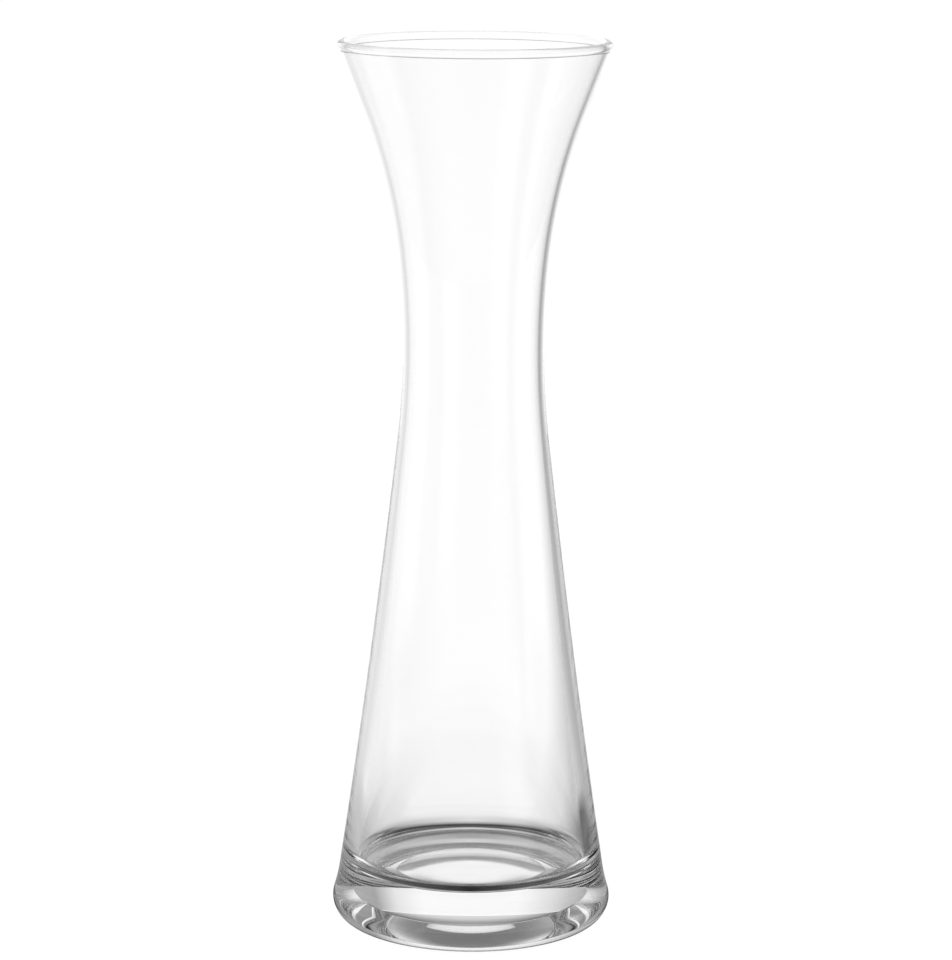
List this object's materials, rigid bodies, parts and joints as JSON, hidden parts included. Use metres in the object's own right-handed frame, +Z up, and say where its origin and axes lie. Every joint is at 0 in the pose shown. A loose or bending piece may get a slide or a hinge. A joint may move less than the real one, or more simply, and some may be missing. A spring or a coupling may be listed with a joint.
{
  "type": "hyacinth forcing vase",
  "caption": "Clear glass forcing vase: flared cup for a bulb, narrow waist, conical water chamber and thick solid foot.",
  "frame": {"origin": "centre of the seat ring under the foot, on the surface that the vase stands on", "axes": "+Z up along the axis of the glass; the glass is round about +Z, so +X and -Y (towards the viewer) are free choices"},
  "size_m": [0.079, 0.079, 0.25],
  "materials": {
    "clear_glass": "clear soda-lime glass, fire polished"
  },
  "bodies": {
    "root": {"foot": "clear_glass", "water_chamber": "clear_glass", "bulb_cup": "clear_glass", "lip": "clear_glass"}
  },
  "joints": []
}
